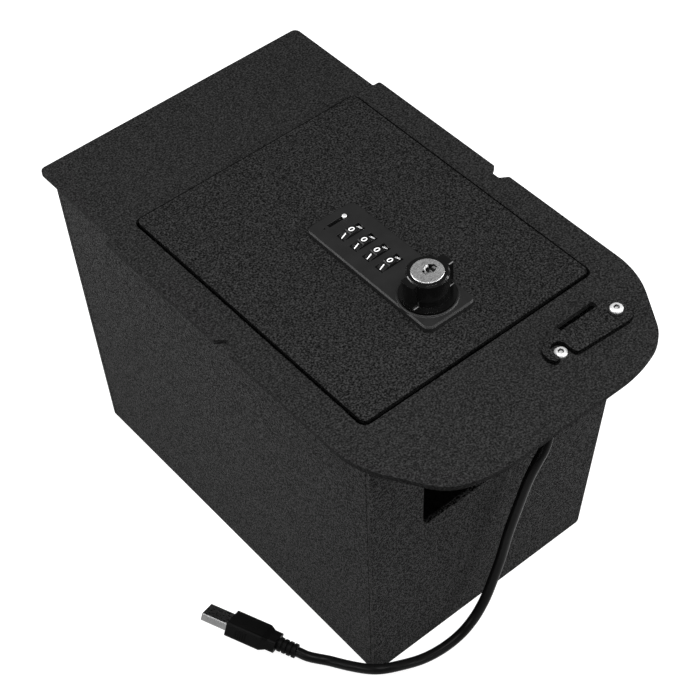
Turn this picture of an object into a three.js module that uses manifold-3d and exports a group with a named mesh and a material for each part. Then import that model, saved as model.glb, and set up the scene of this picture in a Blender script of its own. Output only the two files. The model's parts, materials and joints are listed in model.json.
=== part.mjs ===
// A drop-in safe for a vehicle's centre console: a tapered sheet-steel box under a wide top flange,
// a lid on two gooseneck arms with a combination lock, a swinging cord guard and a USB lead.
// Millimetres, +Z up, the front of the safe towards -Y. The origin is on the ground, at the middle
// of the safe without its lead.
import * as THREE from 'three';
import { mergeVertices } from 'three/addons/utils/BufferGeometryUtils.js';
import Module from 'manifold-3d';

const wasm = await Module();
wasm.setup();

// Sheet steel and clearances
const SHEET = 2.7;
const SEAT = 0.3;            // clearance between pieces that rest on or are welded to each other
const RUNNING = 0.25;        // radial clearance of a turning fit
const BEND = 1.5;            // outer radius of the folds along the floor
const FACETS_PER_RADIAN = 16;

// Top flange
const HEIGHT = 180;
const FLANGE_WIDTH = 179.2;
const REAR_WIDTH = 170.2;
const REAR_LENGTH = 66;
const REAR_CORNER = 3.4;
const NOTCH_FROM_REAR = 156;
const NOTCH_LENGTH = 11;
const NOTCH_DEPTH = 4.5;
const NOTCH_CORNER = 3;
// Each front corner bends in three: from the side edge, round the shoulder and into the front edge.
// A bend is where its two edges would meet, in from the side and back from the front, and a radius.
const FRONT_CORNER = [
  { inset: 0, back: 44.8, radius: 50 },
  { inset: 23.35, back: 7.4, radius: 28 },
  { inset: 45.6, back: 0, radius: 72 },
];

// Box under the flange: insets of its walls from the flange's edges at the top, and their drafts
const LEFT_INSET = 4.9;
const RIGHT_INSET = 9.5;
const FRONT_INSET = 39.6;
const REAR_INSET = 14.9;
const LEFT_DRAFT = 0.95;
const RIGHT_DRAFT = 5.2;
const FRONT_DRAFT = 2.65;
const REAR_DRAFT = 2;

// Open-topped notch in the front wall, for the vehicle's sockets and for leads
const NOTCH_LEFT = 33.2;     // from the left wall's top edge
const NOTCH_RIGHT = 18.1;    // from the right wall's top edge
const SILL_HEIGHT = 104.2;
const SILL_CORNER = 4.5;

// Holes in the floor, for bolting the safe down
const FLOOR_HOLE = 8.5;
const FLOOR_HOLE_INSET = 26;
const MAT_THICKNESS = 2;
const MAT_MARGIN = 6;
const MAT_HOLE = 16;

// Lid and its opening
const LID_LENGTH = 176;
const LID_WIDTH = 141.8;
const LID_GAP = 1.5;
const LID_CORNER = 3;
const LID_PROUD = 1.2;
const LID_X = 0.7;
const LID_REAR_MARGIN = 66;  // from the flange's rear edge to the lid
const LID_FRONT_MARGIN = 60.4;
const LEDGE_REACH = 5.7;     // how far the ledges stand into the opening
const LEDGE_LENGTH = 150;
const PAD_LENGTH = 14;
const PAD_WIDTH = 3.6;

// Gooseneck hinge
const HINGE_BEHIND = 22;     // pivot behind the lid's rear edge
const HINGE_BELOW = 14;      // pivot below the lid's top face
const HINGE_SPREAD = 92;
const ARM_THICKNESS = 5;
const ARM_WIDTH = 7.8;
const ARM_FOOT = 36;
const ARM_EYE = 6.5;
const ROD_RADIUS = 3;
const BRACKET_THICKNESS = 4;
const BRACKET_FOOT = 14;
const BRACKET_LENGTH = 30;
const EAR_RADIUS = 8;
const SIDE_PLAY = 0.5;
const CLIP_THICKNESS = 0.9;
const CLIP_RADIUS = 5.5;

// Combination lock
const LOCK_SHIFT = 1.1;      // from the lid's middle line to the lock's, towards +X
const FACE_WIDTH = 30.8;
const FACE_THICKNESS = 3.1;
const FACE_CHAMFER = 0.8;
const FACE_CORNER = 3.2;
const FACE_FRONT = 20.2;     // from the lid's front edge to the face
const CASE_WIDTH = 22;
const CASE_MARGIN = 3.45;    // from the face's ends to the case's
const CASE_DEPTH = 16.2;
const DIAL_RADIUS = 8.6;
const DIAL_WIDTH = 4.9;
const DIAL_PITCH = 9.6;
const DIAL_GROOVE = 0.55;
const DIAL_COUNT = 4;
const DIAL_SHOWING = 1.7;    // how far the dials stand above the face
const DIAL_REST = 3.5;       // how far the zeros rest past the top, towards +X, in degrees
const FIRST_DIAL = 16.95;    // from the face's rear end
const DIALS_TO_KNOB = 28;
const SHAFT_END = 6.4;       // beyond the first dial, and beyond the last one
const WINDOW_LENGTH = 13.9;
const SHAFT_RADIUS = 2;
const CODE_SLOT_LENGTH = 12.2;
const CODE_SLOT_WIDTH = 2.2;
const CODE_SLOT_INSET = 6.5;
const CODE_SLOT_SHIFT = 0.4;
const CODE_PIN_RADIUS = 1.3;
const CODE_PIN_REST = 1.9;   // from the slot's end to the pin
const CODE_MARK = 0.6;

// Knob, key plug and cam
const KNOB_INSET = 17.8;     // from the face's front end
const KNOB_RADIUS = 10.6;
const KNOB_HEIGHT = 15.4;
const WING_REACH = 13.4;
const WING_WIDTH = 7.8;
const SKIRT_RADIUS = 14;
const SKIRT_HEIGHT = 1.2;
const SKIRT_WINDOW = 64;     // the part of the skirt, in degrees, cut away over the ring in front
const COLLAR_RADIUS = 15.4;
const COLLAR_LIP = 14.4;
const COLLAR_HEIGHT = 0.6;
const SPINDLE_RADIUS = 6.2;
const BARREL_RADIUS = 9.5;
const BARREL_LENGTH = 6.4;
const PLUG_RADIUS = 8.1;
const PLUG_DISC = 1.5;
const ROTOR_RADIUS = 5.5;
const ROTOR_LENGTH = 9.4;
const KEYWAY_LENGTH = 7.6;
const KEYWAY_WIDTH = 2.8;
const KEYWAY_SHIFT = 1.3;
const KEYWAY_BORE = 2.9;     // radius of the round bore that the keyway's slot passes
const KEYWAY_BORE_AT = [1.7, 0.25];
const KEYWAY_DEPTH = 8;
const CAM_REACH = 44;
const CAM_WIDTH = 15;
const CAM_THICKNESS = 2.5;
const CAM_SQUARE = 7;
const CAM_PLAY = 0.5;        // between the cam and the strike's lip
const CAM_CATCH = 6.5;       // how far the locked cam reaches under the lip
const STRIKE_WIDTH = 32;
const STRIKE_LIP = 11;
const STRIKE_FOOT = 6.5;
const STRIKE_BEND = 3;

// Screws
const SCREW_RADIUS = 2;
const CLAMP_WIDTH = 10;
const REAR_CLAMP = 5.9;      // behind the first dial
const FRONT_CLAMP = 11.1;    // in front of the last dial
const CLAMP_CLEARANCE = 1.2; // between the case's sides and the clamps' legs
const CLAMP_THREAD = 7;
const HEAD_RADIUS = 3.3;
const HEAD_HEIGHT = 1.6;
const HEX_SOCKET = 1.7;
const NUT_RADIUS = 4;
const NUT_HEIGHT = 3.2;
const WASHER_RADIUS = 4;
const WASHER_THICKNESS = 0.7;

// Cord guard and the cord slot under it
const GUARD_FROM_RIGHT = 28.6;
const GUARD_FROM_FRONT = 32.3;
const GUARD_SPAN = 36;       // pivot screw to catch screw
const GUARD_HALF_WIDTH = 8.2;
const GUARD_TAPER = 1.9;     // the front edge runs a little outward towards the pivot
const HOOK_RADIUS = 4.1;
const HOOK_WALL = 4.3;
const HOOK_TIP = 3.9;
const CORD_SLOT_LENGTH = 24;
const CORD_SLOT_WIDTH = 8.4;
const CORD_SLOT_FROM_PIVOT = 26;
const CORD_SLOT_CORNER = 0.8;
const CORD_SLOT_BEHIND = 5.3; // from the pivot's line to the slot's front edge

// USB socket inside, and the lead. The route's points are x, the distance behind the flange's front
// edge, and the height.
const SOCKET_X = 36;
const SOCKET_WIDTH = 26;
const SOCKET_HEIGHT = 20;
const SOCKET_DEPTH = 16;
const PORT_WIDTH = 13.2;
const PORT_HEIGHT = 5.8;
const PORT_DEPTH = 11;
const BOOT_RADIUS = 4.2;
const BOOT_LENGTH = 3;
const CORD_RADIUS = 2.75;
const CORD_SIDES = 10;
const CORD_STEPS = 64;
const CORD_ROUTE = [
  [36, 52.7, 103.3], [36, 52.6, 110], [35.3, 50.6, 117.5], [33.3, 46.2, 124.3], [29.8, 40.6, 128.2],
  [25, 35.2, 128.2], [19.5, 31.5, 125], [15.9, 30.2, 119.6], [11.8, 30.2, 113.6], [7.2, 30.9, 104],
  [1.5, 32.2, 84.5], [-3.8, 33.1, 65.6], [-8.2, 33.4, 48], [-13.8, 33.2, 33.5], [-20, 32.6, 22],
  [-27.4, 32.8, 12], [-36, 33.2, 6.2], [-47.6, 33.9, 4.2], [-59.4, 35.7, 4.6], [-71.6, 38.9, 7.4],
  [-81, 42.9, 9], [-85.6, 47.4, 8.4], [-91.2, 57.2, 5.8], [-96.5, 67.2, 4.2],
];

// Plug: where its front face is, in the same terms as the route, and how it lies
const PLUG_AT = [-122.1, 116, 9.8];
const PLUG_HEADING = 24.8;
const PLUG_PITCH = 5.3;
const PLUG_ROLL = 28.5;
const MOULD_WIDTH = 15.7;
const MOULD_HEIGHT = 8.7;
const MOULD_LENGTH = 20;
const MOULD_CORNER = 1.6;
const FLARE_LENGTH = 2.9;
const NECK_WIDTH = 12.2;
const NECK_HEIGHT = 7.1;
const NECK_LENGTH = 4.7;
const RELIEF_RADIUS = 3.9;
const RELIEF_LENGTH = 11;
const RELIEF_RINGS = 4;
const RIB_COUNT = 5;
const RIB_PITCH = 1.3;
const FIRST_RIB = 6.2;       // from the mould's front face to the first groove of its grips
const SHELL_WIDTH = 12;
const SHELL_HEIGHT = 4.5;
const SHELL_LENGTH = 14.6;
const SHELL_HOLE = 2.3;
const SHELL_HOLES_APART = 5.2;
const SHELL_HOLES_BACK = 7.2; // from the shell's mouth
const SHELL_WALL = 0.4;
const TONGUE_THICKNESS = 1.8;

// Places that follow from the sizes above
const UNDERSIDE = HEIGHT - SHEET;
const WALL_TOP = UNDERSIDE - SEAT;
const FLANGE_LENGTH = LID_REAR_MARGIN + LID_LENGTH + LID_FRONT_MARGIN;
const REAR_EDGE = FLANGE_LENGTH / 2;
const FRONT_EDGE = -FLANGE_LENGTH / 2;
const LID_REAR = REAR_EDGE - LID_REAR_MARGIN;
const LID_FRONT = LID_REAR - LID_LENGTH;
const LID_Y = (LID_REAR + LID_FRONT) / 2;
const LID_TOP = HEIGHT + LID_PROUD;
const LID_BOTTOM = LID_TOP - SHEET;
const OPENING_WIDTH = LID_WIDTH + 2 * LID_GAP;
const OPENING_LENGTH = LID_LENGTH + 2 * LID_GAP;
const PIVOT_Y = LID_REAR + HINGE_BEHIND;
const PIVOT_Z = LID_TOP - HINGE_BELOW;
const LOCK_X = LID_X + LOCK_SHIFT;
const FACE_BOTTOM = LID_TOP + SEAT;
const FACE_TOP = FACE_BOTTOM + FACE_THICKNESS;
const FACE_LENGTH = FIRST_DIAL + (DIAL_COUNT - 1) * DIAL_PITCH + DIALS_TO_KNOB + KNOB_INSET;
const CASE_LENGTH = FACE_LENGTH - 2 * CASE_MARGIN;
const FACE_Y = LID_FRONT + FACE_FRONT + FACE_LENGTH / 2;
const FACE_REAR = FACE_Y + FACE_LENGTH / 2;
const CASE_TOP = LID_TOP;
const CASE_BOTTOM = CASE_TOP - CASE_DEPTH;
const DIAL_Z = FACE_TOP + DIAL_SHOWING - DIAL_RADIUS;
const KNOB_Y = FACE_Y - FACE_LENGTH / 2 + KNOB_INSET;
const KNOB_BOTTOM = FACE_TOP + SEAT;
const KNOB_TOP = KNOB_BOTTOM + KNOB_HEIGHT;
const BARREL_BOTTOM = CASE_BOTTOM - BARREL_LENGTH;
const CAM_TOP = BARREL_BOTTOM - 2 * SEAT;
const CAM_BOTTOM = CAM_TOP - CAM_THICKNESS;
const GUARD_PIVOT = [FLANGE_WIDTH / 2 - GUARD_FROM_RIGHT, FRONT_EDGE + GUARD_FROM_FRONT];
const CATCH_X = GUARD_PIVOT[0] - GUARD_SPAN;

const rad = THREE.MathUtils.degToRad;
const placed = ([x, fromFront, z]) => new THREE.Vector3(x, FRONT_EDGE + fromFront, z);

// Materials
const finish = (color, roughness, metalness) => (
  new THREE.MeshStandardMaterial({ color, roughness, metalness }));
const powderCoat = finish(0x262626, 0.75, 0.1);
const gloss = finish(0x0d0d0d, 0.25, 0);
const satinBlack = finish(0x1c1c1c, 0.5, 0);
const rubber = finish(0x151515, 0.9, 0);
const stainless = finish(0xd8d8d6, 0.25, 1);
const zincPlate = finish(0xa9abae, 0.4, 1);

// Geometry to solid and back
function toSolid(geometry) {
  geometry.deleteAttribute('normal');
  geometry.deleteAttribute('uv');
  const merged = mergeVertices(geometry, 1e-4);
  return new wasm.Manifold(new wasm.Mesh({
    numProp: 3,
    vertProperties: new Float32Array(merged.attributes.position.array),
    triVerts: new Uint32Array(merged.index.array),
  }));
}

function toGeometry(solid) {
  const { vertProperties, triVerts } = solid.getMesh();
  const geometry = new THREE.BufferGeometry();
  geometry.setAttribute('position', new THREE.BufferAttribute(vertProperties, 3));
  geometry.setIndex(new THREE.BufferAttribute(triVerts, 1));
  return geometry;
}

const join = (...solids) => solids.reduce((a, b) => a.add(b));
const cut = (solid, ...tools) => tools.reduce((a, b) => a.subtract(b), solid);

// A closed outline from [x, y, radius] corners
function outline(corners) {
  const points = [];
  corners.forEach(([x, y, radius = 0], i) => {
    const corner = new THREE.Vector2(x, y);
    if (!radius) {
      points.push(corner);
      return;
    }
    const before = new THREE.Vector2(...corners.at(i - 1)).sub(corner).normalize();
    const after = new THREE.Vector2(...corners[(i + 1) % corners.length]).sub(corner).normalize();
    const half = Math.acos(before.dot(after)) / 2;
    const bisector = before.clone().add(after).normalize();
    const centre = corner.clone().addScaledVector(bisector, radius / Math.sin(half));
    const start = corner.clone().addScaledVector(before, radius / Math.tan(half)).sub(centre).angle();
    const sweep = (Math.PI - 2 * half) * Math.sign(after.cross(before));
    const steps = Math.max(3, Math.ceil(Math.min(radius, Math.abs(sweep) * FACETS_PER_RADIAN)));
    for (let k = 0; k <= steps; k += 1) {
      const angle = start + (sweep * k) / steps;
      const ray = new THREE.Vector2(Math.cos(angle), Math.sin(angle));
      points.push(ray.multiplyScalar(radius).add(centre));
    }
  });
  return new THREE.Shape(points);
}

function rectangle(x0, x1, y0, y1, radius = 0) {
  return outline([[x0, y0, radius], [x1, y0, radius], [x1, y1, radius], [x0, y1, radius]]);
}

const centred = (x, y, width, height, radius) => (
  rectangle(x - width / 2, x + width / 2, y - height / 2, y + height / 2, radius));

function disc(x, y, radius) {
  return new THREE.Shape().absarc(x, y, radius, 0, 2 * Math.PI);
}

// Extrusions: alongZ from an outline in X and Y, alongY from X and Z, alongX from Y and Z
function extrude(shape, from, to, segments = 12) {
  const geometry = new THREE.ExtrudeGeometry(shape, {
    depth: to - from, bevelEnabled: false, curveSegments: segments,
  });
  return geometry.translate(0, 0, from);
}

const alongZ = (shape, z0, z1, segments) => toSolid(extrude(shape, z0, z1, segments));
const alongY = (shape, y0, y1, segments) => (
  toSolid(extrude(shape, -y1, -y0, segments).rotateX(Math.PI / 2)));
const toYZ = new THREE.Matrix4().makeBasis(
  new THREE.Vector3(0, 1, 0), new THREE.Vector3(0, 0, 1), new THREE.Vector3(1, 0, 0));
const alongX = (shape, x0, x1, segments) => (
  toSolid(extrude(shape, x0, x1, segments).applyMatrix4(toYZ)));

const postZ = (x, y, radius, z0, z1, segments = 20) => {
  const geometry = new THREE.CylinderGeometry(radius, radius, z1 - z0, segments);
  return toSolid(geometry.rotateX(Math.PI / 2).translate(x, y, (z0 + z1) / 2));
};
const postY = (x, z, radius, y0, y1, segments = 20) => {
  const geometry = new THREE.CylinderGeometry(radius, radius, y1 - y0, segments);
  return toSolid(geometry.translate(x, (y0 + y1) / 2, z));
};
const postX = (y, z, radius, x0, x1, segments = 20) => {
  const geometry = new THREE.CylinderGeometry(radius, radius, x1 - x0, segments);
  return toSolid(geometry.rotateZ(Math.PI / 2).translate((x0 + x1) / 2, y, z));
};

// A turned piece about the vertical through x, y, from [radius, z] points
function turned(profile, x, y, segments = 24) {
  const points = profile.map(([radius, z]) => new THREE.Vector2(radius, z));
  return toSolid(new THREE.LatheGeometry(points, segments).rotateX(Math.PI / 2).translate(x, y, 0));
}

const group = new THREE.Group();
function piece(name, solid, material, parent = group) {
  const mesh = new THREE.Mesh(toGeometry(solid), material.clone());
  mesh.name = name;
  parent.add(mesh);
  return mesh;
}

// Walls: where each outer face is at a height
const wall = (edge, inset, draft, side) => (z) => (
  side * (edge - inset - Math.tan(rad(draft)) * (WALL_TOP - z)));
const leftAt = wall(FLANGE_WIDTH / 2, LEFT_INSET, LEFT_DRAFT, -1);
const rightAt = wall(FLANGE_WIDTH / 2, RIGHT_INSET, RIGHT_DRAFT, 1);
const frontAt = wall(REAR_EDGE, FRONT_INSET, FRONT_DRAFT, -1);
const rearAt = wall(REAR_EDGE, REAR_INSET, REAR_DRAFT, 1);

// The flange's outline, from the rear right corner round to the rear left
function flangeOutline() {
  const half = FLANGE_WIDTH / 2;
  const step = REAR_EDGE - REAR_LENGTH;
  const notch = REAR_EDGE - NOTCH_FROM_REAR;
  const side = [
    [REAR_WIDTH / 2, REAR_EDGE, REAR_CORNER],
    [REAR_WIDTH / 2, step, 0.8],
    [half, step, 1.5],
    [half, notch, 1.5],
    [half - NOTCH_DEPTH, notch - NOTCH_CORNER, NOTCH_CORNER / 2],
    [half - NOTCH_DEPTH, notch - NOTCH_LENGTH + NOTCH_CORNER, NOTCH_CORNER / 2],
    [half, notch - NOTCH_LENGTH, 1.5],
  ];
  side.push(...FRONT_CORNER.map(({ inset, back, radius }) => [half - inset, FRONT_EDGE + back, radius]));
  const mirrored = side.map(([x, y, radius]) => [-x, y, radius]).reverse();
  return outline([...side, ...mirrored]);
}

function makeFlange() {
  const shape = flangeOutline();
  const slotLeft = GUARD_PIVOT[0] - CORD_SLOT_FROM_PIVOT;
  const slotFront = GUARD_PIVOT[1] + CORD_SLOT_BEHIND;
  shape.holes.push(
    centred(LID_X, LID_Y, OPENING_WIDTH, OPENING_LENGTH, LID_CORNER + LID_GAP),
    rectangle(slotLeft, slotLeft + CORD_SLOT_LENGTH, slotFront, slotFront + CORD_SLOT_WIDTH,
      CORD_SLOT_CORNER),
    disc(GUARD_PIVOT[0], GUARD_PIVOT[1], SCREW_RADIUS + RUNNING),
    disc(CATCH_X, GUARD_PIVOT[1], SCREW_RADIUS + RUNNING));
  piece('flange_plate', alongZ(shape, UNDERSIDE, HEIGHT), powderCoat);
}

// The space between two slanted ends, in Y and Z, as a long bar along X
function between(from, to) {
  const shape = outline([
    [from(0), 0], [to(0), 0], [to(WALL_TOP), WALL_TOP], [from(WALL_TOP), WALL_TOP],
  ]);
  return alongX(shape, -FLANGE_WIDTH, FLANGE_WIDTH);
}

function boxSection(inset) {
  const lean = (draft) => inset / Math.cos(rad(draft));
  const left = (z) => leftAt(z) + lean(LEFT_DRAFT);
  const right = (z) => rightAt(z) - lean(RIGHT_DRAFT);
  const radius = Math.max(0, BEND - inset);
  return [[left(WALL_TOP), WALL_TOP], [left(inset), inset, radius],
    [right(inset), inset, radius], [right(WALL_TOP), WALL_TOP]];
}

function makeBox() {
  const outer = boxSection(0);
  const inner = boxSection(SHEET).reverse();
  const lean = (draft) => SHEET / Math.cos(rad(draft));
  const frontInside = (z) => frontAt(z) + lean(FRONT_DRAFT);
  const rearInside = (z) => rearAt(z) - lean(REAR_DRAFT);
  const shellSpace = between((z) => frontInside(z) + SEAT, (z) => rearInside(z) - SEAT);
  const folded = alongY(outline([...outer, ...inner]), FRONT_EDGE, REAR_EDGE).intersect(shellSpace);
  const floor = [leftAt(0), rightAt(0), frontInside(0), rearInside(0)];
  const holes = [];
  const matHoles = [];
  for (const x of [floor[0] + FLOOR_HOLE_INSET, floor[1] - FLOOR_HOLE_INSET]) {
    for (const y of [floor[2] + FLOOR_HOLE_INSET, floor[3] - FLOOR_HOLE_INSET]) {
      holes.push(postZ(x, y, FLOOR_HOLE / 2, -SHEET, 2 * SHEET));
      matHoles.push(postZ(x, y, MAT_HOLE / 2, 0, 2 * SHEET + MAT_THICKNESS));
    }
  }
  piece('body_shell', cut(folded, ...holes), powderCoat);

  const face = alongY(outline(outer), FRONT_EDGE, REAR_EDGE);
  const notch = [leftAt(WALL_TOP) + NOTCH_LEFT, rightAt(WALL_TOP) - NOTCH_RIGHT];
  const sill = outline([
    [notch[0], HEIGHT], [notch[0], SILL_HEIGHT, SILL_CORNER],
    [notch[1], SILL_HEIGHT, SILL_CORNER], [notch[1], HEIGHT],
  ]);
  const frontPanel = face.intersect(between(frontAt, frontInside));
  piece('front_panel', cut(frontPanel, alongY(sill, FRONT_EDGE, 0)), powderCoat);
  piece('rear_panel', face.intersect(between(rearInside, rearAt)), powderCoat);

  const mat = rectangle(floor[0] + MAT_MARGIN, floor[1] - MAT_MARGIN,
    floor[2] + MAT_MARGIN, floor[3] - MAT_MARGIN, MAT_MARGIN);
  const matBottom = SHEET + SEAT;
  piece('floor_mat', cut(alongZ(mat, matBottom, matBottom + MAT_THICKNESS), ...matHoles), rubber);
}

function makeLedges() {
  const top = UNDERSIDE - SEAT;
  const bottom = top - SHEET;
  const opening = OPENING_WIDTH / 2;
  const inside = SHEET + 2 * SEAT;
  const ledges = {
    left: [leftAt(bottom) + inside, LID_X - opening + LEDGE_REACH],
    right: [LID_X + opening - LEDGE_REACH, rightAt(bottom) - inside],
  };
  const padTop = LID_BOTTOM - SEAT;
  const padBottom = top + SEAT;
  for (const [side, [x0, x1]] of Object.entries(ledges)) {
    const bar = rectangle(x0, x1, LID_Y - LEDGE_LENGTH / 2, LID_Y + LEDGE_LENGTH / 2);
    piece(`lid_ledge_${side}`, alongZ(bar, bottom, top), powderCoat);
    const padX = side === 'left' ? x1 - PAD_WIDTH / 2 - SEAT : x0 + PAD_WIDTH / 2 + SEAT;
    for (const [end, sign] of [['front', -1], ['rear', 1]]) {
      const padY = LID_Y + sign * (LEDGE_LENGTH / 2 - PAD_LENGTH);
      const pad = centred(padX, padY, PAD_WIDTH, PAD_LENGTH, 1);
      piece(`lid_pad_${side}_${end}`, alongZ(pad, padBottom, padTop), rubber);
    }
  }
}

function makeLid() {
  const shape = centred(LID_X, LID_Y, LID_WIDTH, LID_LENGTH, LID_CORNER);
  shape.holes.push(centred(LOCK_X, FACE_Y, CASE_WIDTH + 2 * SEAT, CASE_LENGTH + 2 * SEAT));
  piece('lid_plate', alongZ(shape, LID_BOTTOM, LID_TOP), powderCoat);
}

// Goosenecks: an arc about the pivot lets the arm pass round the opening's edge as the lid rises
function armSection() {
  const edge = Math.hypot(HINGE_BEHIND - LID_GAP, HINGE_BELOW - LID_PROUD);
  const inner = edge + 1;
  const outer = inner + ARM_WIDTH;
  const at = (y, z) => [PIVOT_Y + y, PIVOT_Z + z];
  const underLid = LID_BOTTOM - SEAT - PIVOT_Z;
  const slab = (y0, y1, z0, z1, x) => alongX(rectangle(...[y0, y1].map((y) => PIVOT_Y + y),
    ...[z0, z1].map((z) => PIVOT_Z + z)), ...x);
  return (x0, x1) => {
    const x = [x0, x1];
    const ring = cut(postX(...at(0, 0), outer, x0, x1, 72), slab(0, outer, -outer, outer, x),
      slab(-outer, 0, 0, outer, x));
    const foot = slab(-inner - ARM_FOOT, 0, 0, underLid, x);
    const hook = cut(join(ring, foot), postX(...at(0, 0), inner, x0, x1, 72));
    const leg = slab(-4.6, 4, -outer, 0, x);
    const eye = postX(...at(0, 0), ARM_EYE, x0, x1, 24);
    const above = slab(-2 * outer, outer, underLid, 2 * outer, x);
    const bore = postX(...at(0, 0), ROD_RADIUS + RUNNING, x0 - 1, x1 + 1, 24);
    const shin = slab(-4.6, 4, -outer - 1, -outer + 1.2, x);
    return cut(join(hook, leg, eye), above, bore, shin);
  };
}

// Two distances from the lid's middle to one side, as x values in rising order
const outwards = (sign, near, far) => [LID_X + sign * near, LID_X + sign * far].sort((a, b) => a - b);

function makeHinge() {
  const arm = armSection();
  const half = HINGE_SPREAD / 2;
  const innerSide = half + ARM_THICKNESS / 2 + SIDE_PLAY;
  const outerSide = innerSide + BRACKET_THICKNESS;
  const plateTop = UNDERSIDE - SEAT;
  for (const [side, sign] of [['left', -1], ['right', 1]]) {
    const armX = LID_X + sign * half;
    piece(`hinge_arm_${side}`, arm(armX - ARM_THICKNESS / 2, armX + ARM_THICKNESS / 2), powderCoat);

    const xs = outwards(sign, innerSide, outerSide);
    const round = EAR_RADIUS - 0.5;
    const [rear, front] = [PIVOT_Y + BRACKET_LENGTH / 2, PIVOT_Y - BRACKET_LENGTH / 2];
    const ear = outline([
      [front, plateTop], [PIVOT_Y - EAR_RADIUS, PIVOT_Z - EAR_RADIUS, round],
      [PIVOT_Y + EAR_RADIUS, PIVOT_Z - EAR_RADIUS, round], [rear, plateTop],
    ]);
    const foot = rectangle(...outwards(sign, innerSide, innerSide + BRACKET_FOOT), front, rear);
    const bracket = join(alongX(ear, ...xs), alongZ(foot, plateTop - SHEET, plateTop));
    const bore = postX(PIVOT_Y, PIVOT_Z, ROD_RADIUS + RUNNING, xs[0] - 1, xs[1] + 1, 24);
    piece(`hinge_bracket_${side}`, cut(bracket, bore), powderCoat);

    const clips = outwards(sign, outerSide + SEAT, outerSide + SEAT + CLIP_THICKNESS);
    const ring = postX(PIVOT_Y, PIVOT_Z, CLIP_RADIUS, ...clips, 24);
    const hole = postX(PIVOT_Y, PIVOT_Z, ROD_RADIUS + RUNNING, clips[0] - 1, clips[1] + 1, 24);
    const mouth = alongX(rectangle(PIVOT_Y - 1.6, PIVOT_Y + 1.6, PIVOT_Z - 2 * CLIP_RADIUS, PIVOT_Z),
      clips[0] - 1, clips[1] + 1);
    piece(`hinge_clip_${side}`, cut(ring, hole, mouth), zincPlate);
  }
  const rodEnd = outerSide + 2 * SEAT + 2 * CLIP_THICKNESS;
  const rod = postX(PIVOT_Y, PIVOT_Z, ROD_RADIUS, LID_X - rodEnd, LID_X + rodEnd, 24);
  piece('hinge_rod', rod, zincPlate);
}

const dialY = (i) => FACE_REAR - FIRST_DIAL - i * DIAL_PITCH;
const codeSlotX = LOCK_X + CODE_SLOT_SHIFT;
const codeSlotY = FACE_REAR - CODE_SLOT_INSET;
const clampPlaces = { rear: dialY(0) + REAR_CLAMP, front: dialY(DIAL_COUNT - 1) - FRONT_CLAMP };

// The dials' pockets, wide enough for each dial to turn
const dialPockets = () => Array.from({ length: DIAL_COUNT }, (_, i) => {
  const [front, rear] = [-1, 1].map((side) => dialY(i) + side * (DIAL_WIDTH / 2 + SEAT));
  return postY(LOCK_X, DIAL_Z, DIAL_RADIUS + 2 * SEAT, front, rear, 32);
});

function makeLockFace() {
  const plateShape = centred(LOCK_X, FACE_Y, FACE_WIDTH - 2 * FACE_CHAMFER,
    FACE_LENGTH - 2 * FACE_CHAMFER, FACE_CORNER);
  const beveled = new THREE.ExtrudeGeometry(plateShape, {
    depth: FACE_THICKNESS, bevelEnabled: true, bevelSegments: 1,
    bevelThickness: FACE_CHAMFER, bevelSize: FACE_CHAMFER, curveSegments: 8,
  }).translate(0, 0, FACE_TOP - FACE_CHAMFER - FACE_THICKNESS);
  const below = alongZ(centred(LOCK_X, FACE_Y, 2 * FACE_WIDTH, 2 * FACE_LENGTH),
    FACE_BOTTOM - 10, FACE_BOTTOM);
  const lip = FACE_TOP + COLLAR_HEIGHT;
  const collar = turned([
    [0, FACE_BOTTOM], [COLLAR_RADIUS, FACE_BOTTOM], [COLLAR_RADIUS, FACE_TOP],
    [(COLLAR_RADIUS + COLLAR_LIP) / 2, lip], [0, lip],
  ], LOCK_X, KNOB_Y, 48);
  const recess = postZ(LOCK_X, KNOB_Y, COLLAR_LIP, FACE_TOP, HEIGHT * 2, 48);
  const spindleHole = postZ(LOCK_X, KNOB_Y, SPINDLE_RADIUS + RUNNING, 0, HEIGHT * 2, 24);
  const windows = Array.from({ length: DIAL_COUNT }, (_, i) => alongZ(
    centred(LOCK_X, dialY(i), WINDOW_LENGTH, DIAL_WIDTH + 2 * SEAT), 0, HEIGHT * 2));
  const slot = alongZ(centred(codeSlotX, codeSlotY, CODE_SLOT_LENGTH, CODE_SLOT_WIDTH, 0.2),
    0, HEIGHT * 2);
  const mark = postZ(codeSlotX - CODE_SLOT_LENGTH / 2 - 2.6, codeSlotY, CODE_MARK,
    FACE_TOP - 1, HEIGHT * 2, 8);
  const face = join(cut(toSolid(beveled), below), collar);
  piece('lock_face',
    cut(face, recess, spindleHole, ...windows, ...dialPockets(), slot, mark), satinBlack);
}

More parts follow.
